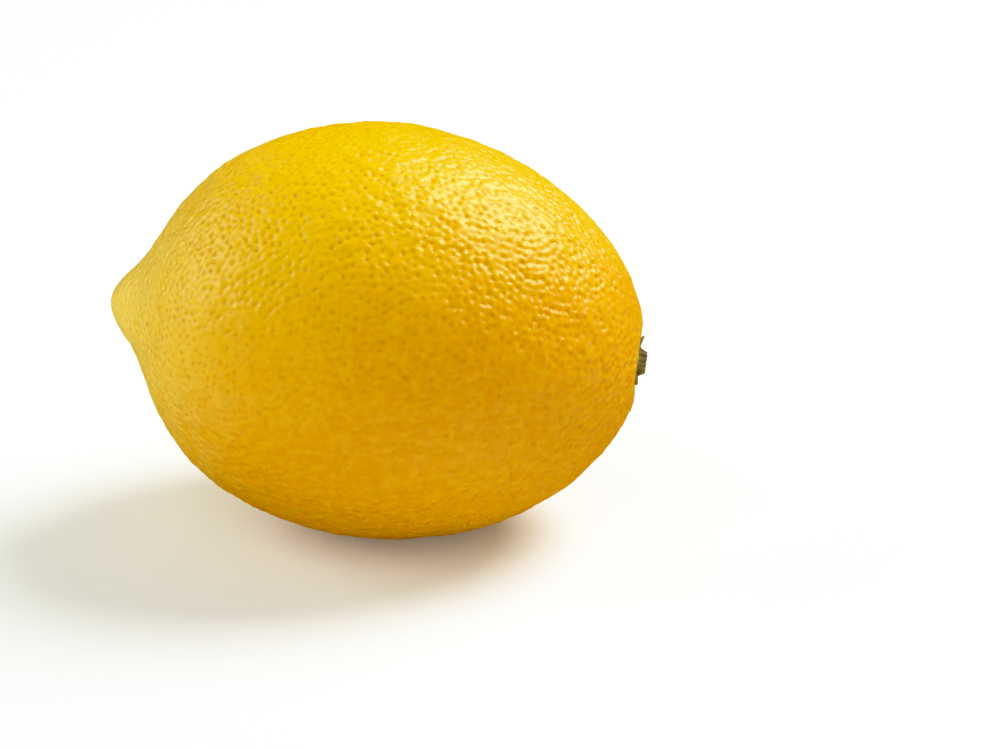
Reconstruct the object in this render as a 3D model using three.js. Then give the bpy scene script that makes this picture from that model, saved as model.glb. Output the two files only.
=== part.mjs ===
// A whole ripe lemon, lying on its side, with the small dry calyx that stays in its stem end
// when the fruit is clipped from the tree.
//
// Millimetres, +Z up. The long axis runs along X: the pointed blossom end looks towards -X and
// the stem end towards +X. The fruit rests on a small flat spot that its own weight presses
// into the peel. The origin is on the resting plane, below the middle of the whole part.

import * as THREE from "three";

// Driving dimensions, in mm.
const GIRTH_RADIUS = 30.75;     // half the width at the widest girth
const NIPPLE_REACH = 38.4;      // from the widest girth to the tip of the nipple
const STEM_REACH = 40.1;        // half the length of the ellipse that the stem half follows
const FLAT_SPOT_DEPTH = 0.5;    // how far the peel is pressed in where it rests
const CALYX_RADIUS = 4.0;       // from the middle of the calyx to the tip of a lobe
const CALYX_LOBES = 5;
const LOBE_NOTCH = 0.2;         // depth of the notch between lobes, as a share of the radius

// A lemon's heavy stem half sinks and its nipple lifts until the middle of the fruit's mass
// stands above the flat spot.
const REST_TILT = THREE.MathUtils.degToRad(5.3);

// Fineness of the two turned solids.
const STEPS_AROUND_FRUIT = 56;
const STEPS_AROUND_CALYX = 30;
const RIM_ANGLE = THREE.MathUtils.degToRad(76);   // where the ellipse meets the stem hollow's rim

// Outline of the fruit as smooth curves that meet end to end. Each point is a radius from the
// axis, then a distance along it from the widest girth. Both are given in mm.
const NECK = [6.2, -34.7];
const SHOULDER = [22.2, -23.9];
const RIM_START = [
  GIRTH_RADIUS * Math.cos(RIM_ANGLE),
  STEM_REACH * Math.sin(RIM_ANGLE),
];
const HOLLOW_WALL = [4.3, 38.7];
const FRUIT_CURVES = [
  { name: "nipple cap", steps: 8, points: [[0, -NIPPLE_REACH], [2.0, -NIPPLE_REACH], [4.6, -36.3], NECK] },
  { name: "hollow flank", steps: 8, points: [NECK, [9.0, -32.2], [15.7, -31.0], SHOULDER] },
  { name: "shoulder", steps: 9, points: [SHOULDER, [28.6, -16.9], [GIRTH_RADIUS, -4.2], [GIRTH_RADIUS, 0]] },
  { name: "stem half", steps: 17, ellipse: [GIRTH_RADIUS, STEM_REACH, RIM_ANGLE] },
  { name: "rim", steps: 5, points: [RIM_START, [6.0, 39.4], [4.9, 39.5], HOLLOW_WALL] },
  { name: "stem hollow", steps: 5, points: [HOLLOW_WALL, [3.7, 37.9], [1.6, 37.4], [0, 37.4]] },
];

// Section of the calyx: a thin cup that follows the hollow's floor, its lobed edge, and the
// clipped stub of the stem in its middle.
const CALYX_SECTION = [
  [0, 37.75],
  [1.8, 37.85],
  [3.2, 38.45],
  [CALYX_RADIUS, 39.15],
  [3.75, 39.5],
  [2.5, 39.3],
  [1.85, 39.5],
  [1.6, 40.2],
  [1.3, 40.5],
  [0, 40.4],
];
const STUB_RADIUS = 2.0;        // the lobes' notches start outside this radius

// Gentle unevenness of a grown fruit: how many waves run round it, how strong they are as a
// share of the radius, and how they turn along the length.
const SWELLS = [
  { waves: 2, strength: 0.006, turn: 0.0, start: 0.7 },
  { waves: 3, strength: 0.004, turn: 0.06, start: 2.1 },
  { waves: 5, strength: 0.003, turn: -0.11, start: 0.4 },
];

function curveOf({ points, ellipse }) {
  if (ellipse) {
    const [radius, reach, endAngle] = ellipse;
    return new THREE.EllipseCurve(0, 0, radius, reach, 0, endAngle);
  }
  return new THREE.CubicBezierCurve(...points.map(([radius, along]) => new THREE.Vector2(radius, along)));
}

function fruitOutline() {
  const outline = [];
  for (const part of FRUIT_CURVES) {
    const stretch = curveOf(part).getSpacedPoints(part.steps);
    outline.push(...stretch.slice(outline.length > 0 ? 1 : 0));
  }
  outline[0].x = 0;
  outline[outline.length - 1].x = 0;
  return outline;
}

// Turns an outline about the X axis, so that a distance along the outline becomes X.
function turnedAboutX(outline, stepsAround) {
  const geometry = new THREE.LatheGeometry(outline, stepsAround);
  geometry.rotateZ(-Math.PI / 2);
  return geometry;
}

// Moves every point of a turned geometry nearer to its axis or away from it, by a share that
// depends on where the point lies along the axis, round it and out from it.
function scaleRadially(geometry, shareAt) {
  const positions = geometry.attributes.position;
  const point = new THREE.Vector3();
  for (let i = 0; i < positions.count; i += 1) {
    point.fromBufferAttribute(positions, i);
    const share = shareAt(point.x, Math.atan2(point.z, point.y), Math.hypot(point.y, point.z));
    positions.setXYZ(i, point.x, point.y * share, point.z * share);
  }
}

function fruitSwell(along, angle) {
  return SWELLS.reduce(
    (share, { waves, strength, turn, start }) =>
      share + strength * Math.cos(waves * angle + turn * along + start),
    1,
  );
}

function calyxLobes(along, angle, radius) {
  if (radius <= STUB_RADIUS) {
    return 1;
  }
  return 1 - LOBE_NOTCH * (0.5 - 0.5 * Math.cos(CALYX_LOBES * angle));
}

// Presses the peel flat on the resting plane, given in the fruit's own tilted frame.
function pressFlat(geometry, tilt, depth) {
  const up = new THREE.Vector3(-Math.sin(tilt), 0, Math.cos(tilt));
  const positions = geometry.attributes.position;
  const point = new THREE.Vector3();
  let lowest = Infinity;
  for (let i = 0; i < positions.count; i += 1) {
    lowest = Math.min(lowest, point.fromBufferAttribute(positions, i).dot(up));
  }
  const restingPlane = new THREE.Plane(up, -(lowest + depth));
  for (let i = 0; i < positions.count; i += 1) {
    point.fromBufferAttribute(positions, i);
    if (restingPlane.distanceToPoint(point) < 0) {
      restingPlane.projectPoint(point.clone(), point);
      positions.setXYZ(i, point.x, point.y, point.z);
    }
  }
}

function makeFruit() {
  const geometry = turnedAboutX(fruitOutline(), STEPS_AROUND_FRUIT);
  scaleRadially(geometry, fruitSwell);
  pressFlat(geometry, REST_TILT, FLAT_SPOT_DEPTH);
  geometry.computeVertexNormals();
  const peel = new THREE.MeshStandardMaterial({ color: 0xe3b414, roughness: 0.42, metalness: 0 });
  const fruit = new THREE.Mesh(geometry, peel);
  fruit.name = "lemon";
  return fruit;
}

function makeStemButton() {
  const section = CALYX_SECTION.map(([radius, along]) => new THREE.Vector2(radius, along));
  const geometry = turnedAboutX(section, STEPS_AROUND_CALYX);
  scaleRadially(geometry, calyxLobes);
  geometry.computeVertexNormals();
  const dryCalyx = new THREE.MeshStandardMaterial({ color: 0x6e6838, roughness: 0.85, metalness: 0 });
  const button = new THREE.Mesh(geometry, dryCalyx);
  button.name = "stem_button";
  return button;
}

// Both pieces share the fruit's frame, which is tilted and then set down on the resting plane.
const lemonAtRest = new THREE.Group();
lemonAtRest.add(makeFruit(), makeStemButton());
lemonAtRest.rotation.y = REST_TILT;

const reach = new THREE.Box3().setFromObject(lemonAtRest, true);
lemonAtRest.position.set(
  -(reach.min.x + reach.max.x) / 2,
  -(reach.min.y + reach.max.y) / 2,
  -reach.min.z,
);
lemonAtRest.updateMatrixWorld(true);

export default lemonAtRest;
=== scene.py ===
"""A whole ripe lemon on a white studio table: the waxy, gland-dimpled peel and the dry calyx in
its stem end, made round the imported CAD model. Metres, +Z up, the fruit's length along X."""

import math

import bpy
import numpy as np
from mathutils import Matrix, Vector, noise


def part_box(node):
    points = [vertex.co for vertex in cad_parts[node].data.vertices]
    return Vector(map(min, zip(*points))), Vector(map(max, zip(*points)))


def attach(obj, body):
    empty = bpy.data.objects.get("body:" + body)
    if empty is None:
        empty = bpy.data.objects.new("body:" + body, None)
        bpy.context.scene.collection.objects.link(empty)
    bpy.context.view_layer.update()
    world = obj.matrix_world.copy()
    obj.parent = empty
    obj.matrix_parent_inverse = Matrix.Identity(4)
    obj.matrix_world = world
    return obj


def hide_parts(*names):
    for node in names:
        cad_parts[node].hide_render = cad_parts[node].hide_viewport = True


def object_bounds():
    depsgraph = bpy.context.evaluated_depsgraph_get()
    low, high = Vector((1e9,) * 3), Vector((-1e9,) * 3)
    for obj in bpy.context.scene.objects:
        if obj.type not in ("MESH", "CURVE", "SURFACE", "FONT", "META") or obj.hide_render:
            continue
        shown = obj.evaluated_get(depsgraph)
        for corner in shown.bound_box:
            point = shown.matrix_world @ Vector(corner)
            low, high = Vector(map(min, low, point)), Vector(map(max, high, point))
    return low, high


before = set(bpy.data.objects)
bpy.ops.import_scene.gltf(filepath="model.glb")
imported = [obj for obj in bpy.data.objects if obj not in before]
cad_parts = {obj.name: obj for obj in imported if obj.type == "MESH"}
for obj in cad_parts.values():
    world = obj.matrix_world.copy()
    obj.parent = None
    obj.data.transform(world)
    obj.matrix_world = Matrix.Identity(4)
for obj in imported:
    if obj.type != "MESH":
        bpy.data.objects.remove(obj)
cad_low, cad_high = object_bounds()


# ---------------------------------------------------------------------------------------------
# The peel. The coloured outer rind of the fruit, grown in one piece with what is under it. Oil
# glands lie close under its surface; over each one the waxy skin sinks into a small dimple, and
# between them it is pebbly, with small knobs. All of that fades out on the smooth nipple.

MM = 0.001

PEEL_GRID_ALONG = 152         # points of the six patches that wrap the fruit, along its length
PEEL_GRID_AROUND = 118        # and across it
CORE_LENGTH = 0.3             # they are drawn in towards a line, this share of their own length
CAD_JOIN_DISTANCE = 0.005 * MM    # corners of the CAD solid's triangles this near are one
CAD_SMOOTHING = 2             # levels that round off the flat facets of the CAD solid
PEEL_SEED = 7

# Oil glands. As first scattered they keep the start spacing; then neighbours grow apart.
GLAND_START_SPACING = 1.02 * MM
GLAND_SPACING = 1.42 * MM
GLAND_DENSITY = 4.0e6         # glands tried per square metre, thinned to the start spacing
GROWING_STEPS = 30
GROWING_SHARE = 0.4           # share of the missing distance that one step makes up
WEAKEST_GLAND = 0.35          # strength of the faintest dimple, as a share of the usual one
STRONGEST_GLAND = 1.3

# Relief that is in the mesh. A range of four numbers, here and below, gives where a change
# starts and ends, then the amount before it and the amount beyond. A range of two goes from
# nothing to all.
DIMPLE_WIDTH = 0.50 * MM
DIMPLE_DEPTH = 0.30 * MM
PEBBLE_SIZE = 2.3 * MM
PEBBLE_HEIGHT = 0.45 * MM
SWELL_SIZE = 11 * MM
SWELL_HEIGHT = 0.42 * MM
RELIEF_NEAR_TIP = (2 * MM, 13 * MM, 0.12, 1.0)
RELIEF_NEAR_STEM = (4 * MM, 9 * MM, 0.1, 1.0)
WRINKLE_HEIGHT = 0.35 * MM
WRINKLE_REACH = 10 * MM
WRINKLES_AROUND = 1.7         # how fast the folds change round the fruit,
WRINKLES_ALONG = 18.0         # and along it, per metre, which is slow: the folds run lengthwise
FULL_STEM_WRINKLES = 3.5 * MM     # the folds are at their highest up to here from the stem,
FULL_TIP_WRINKLES = 2 * MM        # and up to here from the tip, where they are lower
TIP_WRINKLE_SHARE = 0.35
SCAR_RADIUS = 0.9 * MM        # dry scar that the flower's style leaves on the nipple
SCAR_DEPTH = 0.3 * MM

# Relief that is finer than the mesh.
FINE_RELIEF_NEAR_TIP = (2 * MM, 14 * MM, 0.25, 1.0)
KNOB_SPACING = 1.3 * MM
KNOB_WIDTH = 0.42 * MM
KNOB_HEIGHT = 0.13 * MM
PORE_DEPTH = 0.06 * MM        # a deeper point in the middle of each dimple
WAX_GRAIN_SIZE = 0.35 * MM
WAX_GRAIN_HEIGHT = 0.020 * MM

# Colours, and how far and how strongly each one shows.
LEMON_YELLOW = (0.79, 0.468, 0.004, 1)
# Painted shade: the darker gold below is laid on towards the underside and front, the direction after
# it.
SHADE_GOLD = (0.712, 0.303, 0.001, 1)
SHADE_SIDE = Vector((0.42, -0.58, -0.68))
GOLD_REACH = (-5 * MM, 31 * MM)   # from no gold to full gold, measured from the fruit's middle
DRIFT_SIZE = 14 * MM          # size and reach of the patches that break up the gold
FRECKLE_YELLOW = (0.82, 0.50, 0.012, 1)
FRECKLE_SIZE = 1.3 * MM
FRECKLE_NOISE = (0.42, 0.70)
FRECKLE_SHARE = 0.30
PALE_END_YELLOW = (0.82, 0.58, 0.10, 1)
PALE_END_SHARE = (13 * MM, 53 * MM, 0.92, 0.0)
MOTTLE_SIZE = 4 * MM          # size of the patches that break up the pale end,
MOTTLE_REACH = 24 * MM        # and how much shorter it is in some than in others
GLAND_ORANGE = (0.68, 0.34, 0.002, 1)
GLAND_DOT_WIDTH = 0.36 * MM
DOT_SHARE_ON_NIPPLE = (3 * MM, 12 * MM, 0.25, 1.0)
DOT_SHARE_ON_FRUIT = (22 * MM, 42 * MM, 0.80, 0.55)
STEM_GREEN = (0.56, 0.47, 0.03, 1)
STEM_GREEN_SHARE = (2.5 * MM, 9 * MM, 0.55, 0.0)
SCAR_BROWN = (0.20, 0.10, 0.03, 1)
SCAR_SHARE = (0.5 * SCAR_RADIUS, 1.3 * SCAR_RADIUS, 0.85, 0.0)

# Roughness of the wax: patches of it from the shiniest to the dullest, and what a dimple adds.
WAX_PATCH_SIZE = 3 * MM
WAX_ROUGHNESS = (0.3, 0.7, 0.28, 0.37)
DIMPLE_ROUGHNESS = 0.10

peel_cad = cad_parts["lemon"]
nipple_tip = min((v.co for v in peel_cad.data.vertices), key=lambda co: co.x).copy()
button_low, button_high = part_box("stem_button")
stem_end = (button_low + button_high) / 2
fruit_middle = (cad_low + cad_high) / 2


class Graph:
    """Adds nodes to a node tree. A value given to a node is a number, a vector, a colour, or the
    output socket of a node that was added before."""

    def __init__(self, tree):
        self.tree = tree

    def add(self, kind, values=None, **settings):
        node = self.tree.nodes.new(kind)
        for name, setting in settings.items():
            setattr(node, name, setting)
        for key, value in (values or {}).items():
            if isinstance(value, bpy.types.NodeSocket):
                self.tree.links.new(value, node.inputs[key])
            else:
                node.inputs[key].default_value = value
        return node

    def math(self, operation, *values):
        node = self.add("ShaderNodeMath", dict(enumerate(values)), operation=operation)
        return node.outputs[0]

    def vector(self, operation, *values):
        node = self.add("ShaderNodeVectorMath", dict(enumerate(values)), operation=operation)
        return node.outputs["Vector"]

    def measure(self, operation, *values):
        node = self.add("ShaderNodeVectorMath", dict(enumerate(values)), operation=operation)
        return node.outputs["Value"]

    def scaled(self, vector, factor):
        node = self.add("ShaderNodeVectorMath", {0: vector, "Scale": factor}, operation="SCALE")
        return node.outputs["Vector"]

    def ramp(self, value, start, end, low=0.0, high=1.0):
        """Runs smoothly from low to high while value goes from start to end."""
        values = {0: value, 1: start, 2: end, 3: low, 4: high}
        return self.add("ShaderNodeMapRange", values, interpolation_type="SMOOTHSTEP").outputs[0]

    def bell(self, distance, width):
        """A soft bump of height 1 where distance is 0, gone at about twice the width."""
        share = self.math("DIVIDE", distance, width)
        return self.math("EXPONENT", self.math("MULTIPLY", self.math("MULTIPLY", share, share), -1.0))

    def noise(self, place, size, detail=2.0, roughness=0.5):
        """Smooth noise from 0 to 1 whose blobs are about size metres apart."""
        values = {"Vector": place, "Scale": 1 / size, "Detail": detail, "Roughness": roughness}
        return self.add("ShaderNodeTexNoise", values).outputs["Fac"]


def new_geometry_tree(name, sizes):
    """A Geometry Nodes tree with an object, a material and the given sizes as named inputs."""
    tree = bpy.data.node_groups.new(name, "GeometryNodeTree")
    tree.interface.new_socket("Geometry", in_out="INPUT", socket_type="NodeSocketGeometry")
    tree.interface.new_socket("Solid", in_out="INPUT", socket_type="NodeSocketObject")
    tree.interface.new_socket("Finish", in_out="INPUT", socket_type="NodeSocketMaterial")
    for size_name, size in sizes.items():
        kind = {int: "NodeSocketInt", float: "NodeSocketFloat"}.get(type(size), "NodeSocketVector")
        tree.interface.new_socket(size_name, in_out="INPUT", socket_type=kind)
    tree.interface.new_socket("Geometry", in_out="OUTPUT", socket_type="NodeSocketGeometry")
    return tree


def mesh_from_tree(piece_name, tree, values):
    """Runs a tree on an empty object and returns its result as a plain mesh object."""
    carrier = bpy.data.objects.new(piece_name + "_maker", bpy.data.meshes.new(piece_name + "_maker"))
    bpy.context.scene.collection.objects.link(carrier)
    maker = carrier.modifiers.new("maker", "NODES")
    maker.node_group = tree
    for item in tree.interface.items_tree:
        if item.in_out == "INPUT" and item.name in values:
            maker[item.identifier] = values[item.name]
    depsgraph = bpy.context.evaluated_depsgraph_get()
    mesh = bpy.data.meshes.new_from_object(carrier.evaluated_get(depsgraph), depsgraph=depsgraph)
    bpy.data.objects.remove(carrier)
    mesh.name = piece_name
    piece = bpy.data.objects.new(piece_name, mesh)
    bpy.context.scene.collection.objects.link(piece)
    return piece


def smoothed_solid(graph, inputs):
    """The CAD solid with its loose triangles joined and its facets rounded off."""
    solid = graph.add("GeometryNodeObjectInfo", {"Object": inputs["Solid"]})
    joined = graph.add("GeometryNodeMergeByDistance", {"Geometry": solid.outputs["Geometry"],
                                                       "Distance": CAD_JOIN_DISTANCE})
    rounded = graph.add("GeometryNodeSubdivisionSurface", {"Mesh": joined.outputs[0],
                                                           "Level": inputs["Smoothing"]})
    return rounded.outputs[0]


def wrapped_peel(graph, inputs, solid):
    """Six square patches blown up to a ball and drawn in on the solid, so that the peel's faces
    are all of nearly one size."""
    across = inputs["Grid Around"]
    cube = graph.add("GeometryNodeMeshCube", {"Size": (2, 2, 2), "Vertices X": inputs["Grid Along"],
                                              "Vertices Y": across, "Vertices Z": across})
    place = graph.add("GeometryNodeInputPosition").outputs[0]
    even = graph.vector("TANGENT", graph.scaled(place, math.pi / 4))
    ball = graph.vector("NORMALIZE", even)
    box = graph.add("GeometryNodeBoundBox", {"Geometry": solid})
    centre = graph.scaled(graph.vector("ADD", box.outputs["Min"], box.outputs["Max"]), 0.5)
    extent = graph.vector("SUBTRACT", box.outputs["Max"], box.outputs["Min"])
    outside = graph.vector("MULTIPLY", ball, extent)
    along_core = graph.vector("MULTIPLY", outside, (CORE_LENGTH, 0, 0))
    inward = graph.vector("SUBTRACT", along_core, outside)
    ray = graph.add("GeometryNodeRaycast", {"Target Geometry": solid,
                                            "Source Position": graph.vector("ADD", centre, outside),
                                            "Ray Direction": inward,
                                            "Ray Length": 1.0})
    wrapped = graph.add("GeometryNodeSetPosition", {"Geometry": cube.outputs["Mesh"],
                                                    "Position": ray.outputs["Hit Position"]})
    return wrapped.outputs[0]


def stored(graph, geometry, name, value, data_type="FLOAT"):
    """Keeps a value on every point of the peel, under a name that its finish reads."""
    node = graph.add("GeometryNodeStoreNamedAttribute", {"Geometry": geometry, "Name": name,
                                                         "Value": value},
                     data_type=data_type, domain="POINT")
    return node.outputs[0]


def grown_glands(graph, inputs, peel):
    """Points scattered over the peel that then push their nearest neighbour away, as glands do
    while the fruit grows, until they lie evenly but in no pattern."""
    scatter = graph.add("GeometryNodeDistributePointsOnFaces",
                        {"Mesh": peel, "Distance Min": inputs["Gland Start Spacing"],
                         "Density Max": inputs["Gland Density"], "Seed": inputs["Seed"]},
                        distribute_method="POISSON")
    growing = graph.add("GeometryNodeRepeatInput")
    grown = graph.add("GeometryNodeRepeatOutput")
    growing.pair_with_output(grown)
    graph.tree.links.new(scatter.outputs["Points"], growing.inputs["Geometry"])
    graph.tree.links.new(inputs["Growing Steps"], growing.inputs["Iterations"])
    place = graph.add("GeometryNodeInputPosition").outputs[0]
    neighbour = graph.add("GeometryNodeIndexOfNearest").outputs["Index"]
    neighbour_place = graph.add("GeometryNodeFieldAtIndex", {"Value": place, "Index": neighbour},
                                data_type="FLOAT_VECTOR", domain="POINT").outputs[0]
    away = graph.vector("SUBTRACT", place, neighbour_place)
    missing = graph.math("SUBTRACT", inputs["Gland Spacing"], graph.measure("LENGTH", away))
    push = graph.math("MULTIPLY", graph.math("MAXIMUM", missing, 0.0), GROWING_SHARE)
    pushed = graph.vector("ADD", place, graph.scaled(graph.vector("NORMALIZE", away), push))
    on_peel = graph.add("GeometryNodeProximity", {"Geometry": peel, "Sample Position": pushed},
                        target_element="FACES").outputs["Position"]
    moved = graph.add("GeometryNodeSetPosition", {"Geometry": growing.outputs["Geometry"],
                                                  "Position": on_peel})
    graph.tree.links.new(moved.outputs[0], grown.inputs["Geometry"])
    return grown.outputs["Geometry"]


def make_peel_tree(sizes):
    """The whole peel: wrapped round the solid, given its glands and its relief, and set down."""
    tree = new_geometry_tree("lemon_peel", sizes)
    graph = Graph(tree)
    inputs = graph.add("NodeGroupInput").outputs
    peel = wrapped_peel(graph, inputs, smoothed_solid(graph, inputs))
    place = graph.add("GeometryNodeInputPosition").outputs[0]
    normal = graph.add("GeometryNodeInputNormal").outputs[0]

    # Each oil gland has a strength of its own, and a point of the peel at its very middle.
    glands = grown_glands(graph, inputs, peel)
    nearest = graph.add("GeometryNodeSampleNearest", {"Geometry": glands,
                                                      "Sample Position": place}).outputs[0]
    gland_place = graph.add("GeometryNodeSampleIndex", {"Geometry": glands, "Value": place,
                                                        "Index": nearest},
                            data_type="FLOAT_VECTOR").outputs[0]
    any_strength = graph.add("FunctionNodeRandomValue",
                             {2: WEAKEST_GLAND, 3: STRONGEST_GLAND, "Seed": inputs["Seed"]},
                             data_type="FLOAT").outputs[1]
    strength = graph.add("GeometryNodeSampleIndex", {"Geometry": glands, "Value": any_strength,
                                                     "Index": nearest}, data_type="FLOAT").outputs[0]
    middle_point = graph.add("GeometryNodeSampleNearest", {"Geometry": peel,
                                                           "Sample Position": gland_place}).outputs[0]
    own_number = graph.add("GeometryNodeInputIndex").outputs[0]
    at_middle = graph.add("FunctionNodeCompare", {2: middle_point, 3: own_number},
                          data_type="INT", operation="EQUAL").outputs[0]
    peel = graph.add("GeometryNodeSetPosition", {"Geometry": peel, "Selection": at_middle,
                                                 "Position": gland_place}).outputs[0]
    reach = graph.measure("DISTANCE", place, gland_place)

    # How far a point is from either end, and where it lies round the fruit's axis.
    from_tip = graph.measure("DISTANCE", place, inputs["Nipple Tip"])
    from_stem = graph.measure("DISTANCE", place, inputs["Stem End"])
    axis = graph.vector("SUBTRACT", inputs["Stem End"], inputs["Nipple Tip"])
    axis = graph.vector("NORMALIZE", axis)
    from_tip_vector = graph.vector("SUBTRACT", place, inputs["Nipple Tip"])
    along = graph.scaled(axis, graph.measure("DOT_PRODUCT", from_tip_vector, axis))
    around = graph.vector("NORMALIZE", graph.vector("SUBTRACT", from_tip_vector, along))

    # Relief, all of it in metres along the normal.
    dimple = graph.bell(reach, inputs["Dimple Width"])
    dimple = graph.math("MULTIPLY", dimple, graph.math("MULTIPLY", strength, inputs["Dimple Depth"]))
    pebble = graph.math("SUBTRACT", graph.noise(place, PEBBLE_SIZE, detail=1.0), 0.5)
    pebble = graph.math("MULTIPLY", pebble, inputs["Pebble Height"])
    fine = graph.math("SUBTRACT", pebble, dimple)
    share_near_tip = graph.ramp(from_tip, *RELIEF_NEAR_TIP)
    share_near_stem = graph.ramp(from_stem, *RELIEF_NEAR_STEM)
    fine = graph.math("MULTIPLY", fine, graph.math("MULTIPLY", share_near_tip, share_near_stem))
    swell = graph.math("SUBTRACT", graph.noise(place, SWELL_SIZE, detail=0.0), 0.5)
    swell = graph.math("MULTIPLY", swell, inputs["Swell Height"])
    folds = graph.vector("ADD", graph.scaled(around, WRINKLES_AROUND),
                         graph.scaled(along, WRINKLES_ALONG))
    folds = graph.math("SUBTRACT", graph.noise(folds, 1.0, detail=1.0), 0.5)
    wrinkle_reach = inputs["Wrinkle Reach"]
    stem_folds = graph.ramp(from_stem, FULL_STEM_WRINKLES, wrinkle_reach, 1.0, 0.0)
    tip_folds = graph.ramp(from_tip, FULL_TIP_WRINKLES, wrinkle_reach, TIP_WRINKLE_SHARE, 0.0)
    folds = graph.math("MULTIPLY", folds, graph.math("ADD", stem_folds, tip_folds))
    folds = graph.math("MULTIPLY", folds, inputs["Wrinkle Height"])
    scar = graph.ramp(from_tip, 0.0, inputs["Scar Radius"], -SCAR_DEPTH, 0.0)
    relief = graph.math("ADD", graph.math("ADD", fine, swell), graph.math("ADD", folds, scar))

    for name, value, kind in (
        ("grown_place", place, "FLOAT_VECTOR"),
        ("gland_reach", reach, "FLOAT"),
        ("gland_strength", strength, "FLOAT"),
        ("from_tip", from_tip, "FLOAT"),
        ("from_stem", from_stem, "FLOAT"),
    ):
        peel = stored(graph, peel, name, value, kind)
    raised = graph.add("GeometryNodeSetPosition", {"Geometry": peel,
                                                   "Offset": graph.scaled(normal, relief)})

    # The peel lies flat where it meets the table.
    xyz = graph.add("ShaderNodeSeparateXYZ", {0: place})
    above = graph.math("MAXIMUM", xyz.outputs["Z"], inputs["Table Height"])
    resting = graph.add("ShaderNodeCombineXYZ", {"X": xyz.outputs["X"], "Y": xyz.outputs["Y"],
                                                 "Z": above})
    set_down = graph.add("GeometryNodeSetPosition", {"Geometry": raised.outputs[0],
                                                     "Position": resting.outputs[0]})
    finish_tree(graph, inputs, set_down.outputs[0])
    return tree


def finish_tree(graph, inputs, geometry):
    """Ends a tree: smooth shading, real geometry and the piece's material."""
    smooth = graph.add("GeometryNodeSetShadeSmooth", {"Geometry": geometry})
    real = graph.add("GeometryNodeRealizeInstances", {"Geometry": smooth.outputs[0]})
    dressed = graph.add("GeometryNodeSetMaterial", {"Geometry": real.outputs[0],
                                                    "Material": inputs["Finish"]})
    graph.add("NodeGroupOutput", {"Geometry": dressed.outputs[0]})


def attribute(graph, name, kind="Fac"):
    """A value that the piece's mesh carries on its points."""
    return graph.add("ShaderNodeAttribute", attribute_name=name).outputs[kind]


def mixed(graph, factor, first, second):
    """The first colour where factor is 0, the second where it is 1."""
    node = graph.add("ShaderNodeMix", {0: factor, 6: first, 7: second}, data_type="RGBA")
    return node.outputs[2]


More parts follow.
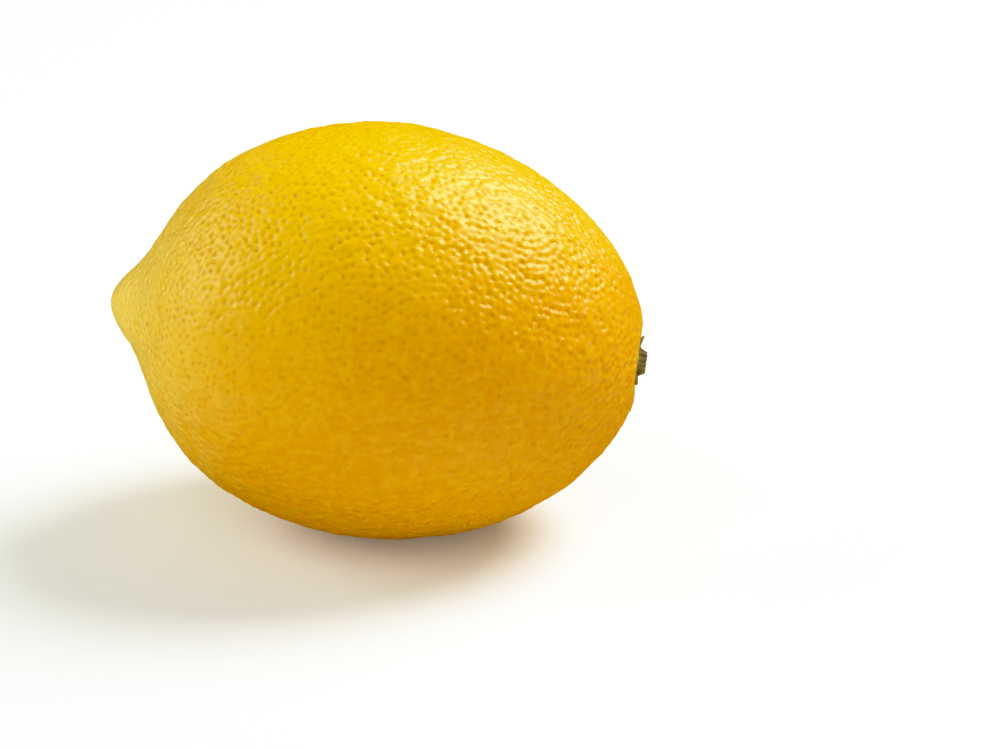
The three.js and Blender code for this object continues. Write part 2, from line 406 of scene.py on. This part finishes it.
def peel_finish():
    """Waxy yellow rind: orange dots over the glands, painted shade in darker gold on the underside
    and front, a paler nipple end, a touch of green round the stem, and a dry brown scar on the very
    tip."""
    material = bpy.data.materials.new("lemon_peel")
    material.use_nodes = True
    graph = Graph(material.node_tree)
    shader = material.node_tree.nodes["Principled BSDF"]
    place = attribute(graph, "grown_place", "Vector")
    from_gland = attribute(graph, "gland_reach")
    strength = attribute(graph, "gland_strength")
    from_tip = attribute(graph, "from_tip")
    from_stem = attribute(graph, "from_stem")
    # Painted shade: the peel turns darker, deeper gold towards its underside and front, standing in
    # for shade and warm bounced light.
    toward_shade = graph.measure("DOT_PRODUCT", graph.vector("SUBTRACT", place, tuple(fruit_middle)),
                          tuple(SHADE_SIDE.normalized()))
    drift = graph.math("MULTIPLY", graph.noise(place, DRIFT_SIZE), DRIFT_SIZE)
    gold = graph.ramp(graph.math("ADD", toward_shade, drift), *GOLD_REACH)
    colour = mixed(graph, gold, LEMON_YELLOW, SHADE_GOLD)
    freckles = graph.ramp(graph.noise(place, FRECKLE_SIZE), *FRECKLE_NOISE)
    colour = mixed(graph, graph.math("MULTIPLY", freckles, FRECKLE_SHARE), colour, FRECKLE_YELLOW)
    # The pale end reaches further in some patches than in others.
    mottle = graph.math("MULTIPLY", graph.noise(place, MOTTLE_SIZE, detail=3.0), MOTTLE_REACH)
    pale = graph.ramp(graph.math("ADD", from_tip, mottle), *PALE_END_SHARE)
    colour = mixed(graph, pale, colour, PALE_END_YELLOW)
    # The dots show most near the pale end, but fade out on the nipple itself.
    dot = graph.math("MULTIPLY", graph.bell(from_gland, GLAND_DOT_WIDTH), strength)
    shown = graph.math("MULTIPLY", dot, graph.ramp(from_tip, *DOT_SHARE_ON_NIPPLE))
    shown = graph.math("MULTIPLY", shown, graph.ramp(from_tip, *DOT_SHARE_ON_FRUIT))
    colour = mixed(graph, shown, colour, GLAND_ORANGE)
    colour = mixed(graph, graph.ramp(from_stem, *STEM_GREEN_SHARE), colour, STEM_GREEN)
    colour = mixed(graph, graph.ramp(from_tip, *SCAR_SHARE), colour, SCAR_BROWN)
    material.node_tree.links.new(colour, shader.inputs["Base Color"])

    # The wax is thinner in patches and in the dimples, so the skin shines less there.
    dullness = graph.ramp(graph.noise(place, WAX_PATCH_SIZE, detail=3.0), *WAX_ROUGHNESS)
    dullness = graph.math("ADD", dullness, graph.math("MULTIPLY", dot, DIMPLE_ROUGHNESS))
    material.node_tree.links.new(dullness, shader.inputs["Roughness"])

    grain = graph.noise(place, WAX_GRAIN_SIZE, detail=3.0)
    grain = graph.math("MULTIPLY", grain, WAX_GRAIN_HEIGHT)
    cells = graph.add("ShaderNodeTexVoronoi", {"Vector": place, "Scale": 1 / KNOB_SPACING})
    knobs = graph.bell(cells.outputs["Distance"], KNOB_WIDTH / KNOB_SPACING)
    knobs = graph.math("MULTIPLY", knobs, KNOB_HEIGHT)
    pores = graph.math("MULTIPLY", dot, -PORE_DEPTH)
    height = graph.math("ADD", graph.math("ADD", grain, knobs), pores)
    height = graph.math("MULTIPLY", height, graph.ramp(from_tip, *FINE_RELIEF_NEAR_TIP))
    bump = graph.add("ShaderNodeBump", {"Height": height, "Distance": 1.0, "Strength": 1.0})
    material.node_tree.links.new(bump.outputs[0], shader.inputs["Normal"])

    shader.inputs["IOR"].default_value = 1.46
    shader.inputs["Specular IOR Level"].default_value = 0.42
    shader.inputs["Specular Tint"].default_value = (1.0, 0.95, 0.62, 1)
    shader.inputs["Subsurface Weight"].default_value = 0.35
    shader.inputs["Subsurface Radius"].default_value = (1.0, 0.45, 0.08)
    shader.inputs["Subsurface Scale"].default_value = 1.6 * MM
    return material


peel_values = {
    "Solid": peel_cad,
    "Finish": peel_finish(),
    "Smoothing": CAD_SMOOTHING,
    "Grid Along": PEEL_GRID_ALONG,
    "Grid Around": PEEL_GRID_AROUND,
    "Seed": PEEL_SEED,
    "Gland Start Spacing": GLAND_START_SPACING,
    "Gland Spacing": GLAND_SPACING,
    "Growing Steps": GROWING_STEPS,
    "Gland Density": GLAND_DENSITY,
    "Dimple Width": DIMPLE_WIDTH,
    "Dimple Depth": DIMPLE_DEPTH,
    "Pebble Height": PEBBLE_HEIGHT,
    "Swell Height": SWELL_HEIGHT,
    "Wrinkle Height": WRINKLE_HEIGHT,
    "Wrinkle Reach": WRINKLE_REACH,
    "Scar Radius": SCAR_RADIUS,
    "Table Height": cad_low.z,
    "Nipple Tip": nipple_tip,
    "Stem End": stem_end,
}
sizes = {name: value for name, value in peel_values.items() if name not in ("Solid", "Finish")}
peel = mesh_from_tree("peel", make_peel_tree(sizes), peel_values)
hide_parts("lemon")
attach(peel, "root")


# ---------------------------------------------------------------------------------------------
# The stem button. The dry calyx of the flower, five leathery lobes round the clipped stub of the
# stem. It is grown to the fruit in the small hollow of its stem end.

LOBES = 5
LOBE_REACH = 4.0 * MM
LOBE_NOTCH = 0.38             # depth of the notch between two lobes, as a share of their reach
LOBE_POINTEDNESS = 1.7        # 1 is a sharp tip, 2 a round one
STUB_REACH = 2.0 * MM         # the lobes part outside this radius
LOBE_CURL = (0.10, 0.26, -0.05, 0.22, 0.14)   # how far each lobe's tip has curled up, in mm
LOBE_RAGGEDNESS = 0.05        # how far the edge is eaten back in places, as a share of the reach
RAGS_AROUND = 6.0             # how fast that changes round the calyx
MIDRIB_HEIGHT = 0.16 * MM
MIDRIB_HALF_ANGLE = 0.13      # radians
PUCKER_HEIGHT = 0.34 * MM     # folds that the calyx drew into as it dried
PUCKERS_AROUND = 3.4          # how fast the folds change round the calyx,
PUCKERS_UP = 0.35             # and up its stub, per mm, which is slow: they run upwards there
PUCKER_START = 0.6 * MM       # the folds deepen between these distances from the axis
PUCKER_END = 2.6 * MM
LEATHER_GRAIN_HEIGHT = 0.10 * MM
LEATHER_GRAIN_FINENESS = 3.1  # blobs per mm
STUB_FLUTING = 0.16           # how far the same folds flute the stub, as a share of its radius
STUB_ROUGHNESS = 0.05         # and how far its bark is uneven
BARK_FINENESS = 2.3           # blobs per mm
STUB_EDGE = (1.7 * MM, 2.4 * MM)      # the stub passes into the lobes between these distances
BUTTON_STEPS_AROUND = 220
BUTTON_STEPS_ALONG = 76

# Section from the middle of the underside, round the lobe's edge, to the middle of the cut end:
# radius from the axis and height above the calyx's base, both in mm.
BUTTON_SECTION = [(0.0, -0.30), (1.8, -0.20), (3.1, 0.45), (3.92, 1.20), (4.0, 1.34), (3.9, 1.46),
                  (3.2, 1.42), (2.5, 1.36), (2.05, 1.58), (1.78, 2.05), (1.66, 2.50), (1.50, 2.74),
                  (1.22, 2.70), (0.85, 2.52), (0.40, 2.40), (0.0, 2.38)]

button_points = np.array([vertex.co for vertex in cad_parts["stem_button"].data.vertices])
button_middle = button_points.mean(axis=0)
axis_rows = np.linalg.svd(button_points - button_middle, full_matrices=False)[2]
button_axis = Vector(axis_rows[2])
if button_axis.x < 0:
    button_axis.negate()
button_side = Vector((0, 1, 0))
button_up = button_axis.cross(button_side)
base_depth = min((Vector(point) - Vector(button_middle)).dot(button_axis) for point in button_points)
button_base = Vector(button_middle) + button_axis * base_depth


def along_section(share):
    """The section's radius and height, in metres, at a share of its length from 0 to 1."""
    corners = np.array(BUTTON_SECTION) * MM
    steps = np.linalg.norm(np.diff(corners, axis=0), axis=1)
    run = np.concatenate([[0], np.cumsum(steps)]) / steps.sum()
    return float(np.interp(share, run, corners[:, 0])), float(np.interp(share, run, corners[:, 1]))


def step(value, start, end):
    """Runs smoothly from 0 to 1 while value goes from start to end."""
    share = min(max((value - start) / (end - start), 0.0), 1.0)
    return share * share * (3 - 2 * share)


def button_point(share, angle):
    """A point of the button, at a share of its section's length and an angle round its axis."""
    radius, height = along_section(share)
    lobe_turn = 2 * math.pi / LOBES
    lobe_number = round(angle / lobe_turn) % LOBES
    off_rib = angle - round(angle / lobe_turn) * lobe_turn
    direction = Vector((math.cos(angle), math.sin(angle), 0))
    raggedness = noise.noise(direction * RAGS_AROUND) * LOBE_RAGGEDNESS
    notch = LOBE_NOTCH * abs(math.sin(LOBES * angle / 2)) ** LOBE_POINTEDNESS
    reach = LOBE_REACH * (1 - notch - abs(raggedness))
    outer = step(radius, STUB_REACH, LOBE_REACH)
    if radius > STUB_REACH:
        radius = STUB_REACH + (radius - STUB_REACH) * (reach - STUB_REACH) / (LOBE_REACH - STUB_REACH)
    place = Vector((direction.x * radius, direction.y * radius, height)) / MM
    pucker = noise.noise(Vector((direction.x * PUCKERS_AROUND, direction.y * PUCKERS_AROUND,
                                 place.z * PUCKERS_UP)))
    height += LOBE_CURL[lobe_number] * MM * outer
    height += MIDRIB_HEIGHT * math.exp(-(off_rib / MIDRIB_HALF_ANGLE) ** 2) * outer
    height += PUCKER_HEIGHT * pucker * step(radius, PUCKER_START, PUCKER_END)
    height += LEATHER_GRAIN_HEIGHT * noise.noise(place * LEATHER_GRAIN_FINENESS)
    on_stub = 1 - step(radius, *STUB_EDGE)
    bark = noise.noise(place * BARK_FINENESS)
    radius *= 1 + (STUB_FLUTING * pucker + STUB_ROUGHNESS * bark) * on_stub
    return direction * radius + Vector((0, 0, height))


button_vertices = []
for row in range(BUTTON_STEPS_ALONG + 1):
    ends = row in (0, BUTTON_STEPS_ALONG)
    for step_around in range(1 if ends else BUTTON_STEPS_AROUND):
        local = button_point(row / BUTTON_STEPS_ALONG, 2 * math.pi * step_around / BUTTON_STEPS_AROUND)
        across = button_side * local.x + button_up * local.y
        button_vertices.append(button_base + across + button_axis * local.z)

button_faces = []
last_vertex = len(button_vertices) - 1
top_row = last_vertex - BUTTON_STEPS_AROUND
for step_around in range(BUTTON_STEPS_AROUND):
    following = (step_around + 1) % BUTTON_STEPS_AROUND
    button_faces.append((0, 1 + following, 1 + step_around))
    for row in range(BUTTON_STEPS_ALONG - 2):
        here = 1 + row * BUTTON_STEPS_AROUND
        there = here + BUTTON_STEPS_AROUND
        button_faces.append((here + step_around, here + following,
                             there + following, there + step_around))
    button_faces.append((top_row + step_around, top_row + following, last_vertex))

button_mesh = bpy.data.meshes.new("dry_stem_button")
button_mesh.from_pydata(button_vertices, [], button_faces)
button_mesh.shade_smooth()

# Colours of the dry calyx, and how far and how strongly each one shows.
CALYX_BROWN = (0.150, 0.083, 0.028, 1)
CALYX_OLIVE = (0.235, 0.195, 0.055, 1)
OLIVE_SIZE = 1.6 * MM
OLIVE_NOISE = (0.35, 0.65)
CALYX_SPECK = (0.060, 0.035, 0.016, 1)
SPECK_SIZE = 0.35 * MM
SPECK_SHARE = (0.50, 0.72, 0.0, 0.75)
LOBE_EDGE_TAN = (0.30, 0.185, 0.070, 1)
LOBE_EDGE_SHARE = (2.6 * MM, 4.0 * MM, 0.0, 0.55)
CUT_END_TAN = (0.42, 0.31, 0.17, 1)
CUT_END_HEIGHT = (2.1 * MM, 2.4 * MM)
CUT_END_SHARE = (0.9 * MM, 1.35 * MM, 1.0, 0.0)
PITH_BROWN = (0.12, 0.07, 0.03, 1)
PITH_SHARE = (0.25 * MM, 0.5 * MM, 0.8, 0.0)
DRYNESS_SIZE = 0.8 * MM
DRYNESS_ROUGHNESS = (0.3, 0.7, 0.62, 0.88)
FIBRE_SIZE = 0.22 * MM
FIBRE_HEIGHT = 0.06 * MM


def calyx_finish():
    """Dead, woody calyx: brown with some olive left in it, dark specks, tan lobe edges, and a
    pale cut end on the stub with a dark middle."""
    material = bpy.data.materials.new("dry_calyx")
    material.use_nodes = True
    graph = Graph(material.node_tree)
    shader = material.node_tree.nodes["Principled BSDF"]
    place = graph.add("ShaderNodeTexCoord").outputs["Object"]
    from_base = graph.vector("SUBTRACT", place, tuple(button_base))
    height = graph.measure("DOT_PRODUCT", from_base, tuple(button_axis))
    from_axis = graph.measure("LENGTH", graph.vector("SUBTRACT", from_base,
                                                     graph.scaled(tuple(button_axis), height)))
    olive = graph.ramp(graph.noise(place, OLIVE_SIZE, detail=3.0), *OLIVE_NOISE)
    colour = mixed(graph, olive, CALYX_BROWN, CALYX_OLIVE)
    specks = graph.ramp(graph.noise(place, SPECK_SIZE, detail=3.0), *SPECK_SHARE)
    colour = mixed(graph, specks, colour, CALYX_SPECK)
    colour = mixed(graph, graph.ramp(from_axis, *LOBE_EDGE_SHARE), colour, LOBE_EDGE_TAN)
    cut = graph.math("MULTIPLY", graph.ramp(height, *CUT_END_HEIGHT),
                     graph.ramp(from_axis, *CUT_END_SHARE))
    colour = mixed(graph, cut, colour, CUT_END_TAN)
    pith = graph.math("MULTIPLY", cut, graph.ramp(from_axis, *PITH_SHARE))
    colour = mixed(graph, pith, colour, PITH_BROWN)
    material.node_tree.links.new(colour, shader.inputs["Base Color"])
    dryness = graph.ramp(graph.noise(place, DRYNESS_SIZE), *DRYNESS_ROUGHNESS)
    material.node_tree.links.new(dryness, shader.inputs["Roughness"])
    fibres = graph.math("MULTIPLY", graph.noise(place, FIBRE_SIZE, detail=4.0), FIBRE_HEIGHT)
    bump = graph.add("ShaderNodeBump", {"Height": fibres, "Distance": 1.0, "Strength": 1.0})
    material.node_tree.links.new(bump.outputs[0], shader.inputs["Normal"])
    shader.inputs["Specular IOR Level"].default_value = 0.35
    return material


button_mesh.materials.append(calyx_finish())
button = bpy.data.objects.new("dry_stem_button", button_mesh)
bpy.context.scene.collection.objects.link(button)
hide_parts("stem_button")
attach(button, "root")


# ---------------------------------------------------------------------------------------------
# The stage. A white table, a big soft key light high behind on the right, a soft light on the
# left, and a very wide one in front that only lifts the shadows, so it makes no glints. The
# camera looks down a little on the fruit.

TABLE_SIZE = 6.0
TABLE_WHITE = (0.88, 0.915, 0.905, 1)
TABLE_GLOW = (0.95, 1.0, 0.98, 1)
TABLE_GLOW_STRENGTH = 0.09
SKY_COLOUR = (1.0, 0.985, 0.88, 1)
SKY_STRENGTH = 0.22
FRONT_FILL_COLOUR = (1.0, 0.985, 0.90)
CAMERA_HEIGHT_ANGLE = math.radians(22)
CAMERA_TURN = math.radians(5.0)
CAMERA_DISTANCE = 0.588
CAMERA_LENS = 144.4           # mm, on the sensor below
SENSOR_WIDTH = 36
AIM_RIGHT = 0.01768           # how far the camera aims right of the fruit's middle,
AIM_DOWN = 0.00718            # and below it
BLACK_LEVEL = (0, 0, 0.012)   # takes a little blue out of the darkest tones
WHITE_LEVEL = (1.24, 1.24, 1.24)
TONE_KNEE = (0.48, 0.648)
TONE_SHOULDER = (0.74, 0.90)
ALL_CHANNELS = 3              # number of the curve that acts on red, green and blue alike


def area_light(name, direction, distance, size, power):
    """A round soft light that points at the middle of the fruit, seen from it in direction."""
    light = bpy.data.lights.new(name, "AREA")
    light.shape = "DISK"
    light.size = size
    light.energy = power
    lamp = bpy.data.objects.new(name, light)
    lamp.location = fruit_middle + direction.normalized() * distance
    lamp.rotation_mode = "QUATERNION"
    lamp.rotation_quaternion = (lamp.location - fruit_middle).to_track_quat("Z", "Y")
    bpy.context.scene.collection.objects.link(lamp)
    return lamp


table_mesh = bpy.data.meshes.new("table")
half = TABLE_SIZE / 2
table_corners = [(-half, -half, 0), (half, -half, 0), (half, half, 0), (-half, half, 0)]
table_mesh.from_pydata(table_corners, [], [(0, 1, 2, 3)])
table = bpy.data.objects.new("table", table_mesh)
bpy.context.scene.collection.objects.link(table)
white = bpy.data.materials.new("white_table")
white.use_nodes = True
white_shader = white.node_tree.nodes["Principled BSDF"]
white_shader.inputs["Base Color"].default_value = TABLE_WHITE
white_shader.inputs["Roughness"].default_value = 0.9
white_shader.inputs["Specular IOR Level"].default_value = 0.1
white_shader.inputs["Emission Color"].default_value = TABLE_GLOW
white_shader.inputs["Emission Strength"].default_value = TABLE_GLOW_STRENGTH
table_mesh.materials.append(white)
table.visible_glossy = False

area_light("key", Vector((0.58, 0.37, 0.78)), distance=0.75, size=0.50, power=6.7)
area_light("left_fill", Vector((-0.85, 0.02, 0.46)), distance=0.8, size=0.5, power=2.3)
front_fill = area_light("front_fill", Vector((-0.28, -0.80, 0.62)), distance=1.2, size=1.2, power=5.8)
front_fill.visible_glossy = False
front_fill.data.color = FRONT_FILL_COLOUR

world = bpy.data.worlds.new("studio")
world.use_nodes = True
world.node_tree.nodes["Background"].inputs["Color"].default_value = SKY_COLOUR
world.node_tree.nodes["Background"].inputs["Strength"].default_value = SKY_STRENGTH
world.cycles_visibility.glossy = False
bpy.context.scene.world = world

camera_data = bpy.data.cameras.new("camera")
camera_data.lens = CAMERA_LENS
camera_data.sensor_width = SENSOR_WIDTH
camera = bpy.data.objects.new("camera", camera_data)
bpy.context.scene.collection.objects.link(camera)
right = Vector((math.cos(CAMERA_TURN), math.sin(CAMERA_TURN), 0))
back = Vector((math.sin(CAMERA_TURN) * math.cos(CAMERA_HEIGHT_ANGLE),
               -math.cos(CAMERA_TURN) * math.cos(CAMERA_HEIGHT_ANGLE),
               math.sin(CAMERA_HEIGHT_ANGLE)))
aim = fruit_middle + right * AIM_RIGHT + Vector((0, 0, -AIM_DOWN))
camera.location = aim + back * CAMERA_DISTANCE
camera.rotation_mode = "QUATERNION"
camera.rotation_quaternion = back.to_track_quat("Z", "Y")
bpy.context.scene.camera = camera

# A bright studio tone: the middle tones are lifted and the table runs out to white.
grading = bpy.context.scene.view_settings
grading.view_transform = "Standard"
grading.use_curve_mapping = True
grading.curve_mapping.black_level = BLACK_LEVEL
grading.curve_mapping.white_level = WHITE_LEVEL
tone = grading.curve_mapping.curves[ALL_CHANNELS]
knee = tone.points.new(*TONE_KNEE)
knee.handle_type = "VECTOR"
tone.points.new(*TONE_SHOULDER)
grading.curve_mapping.update()
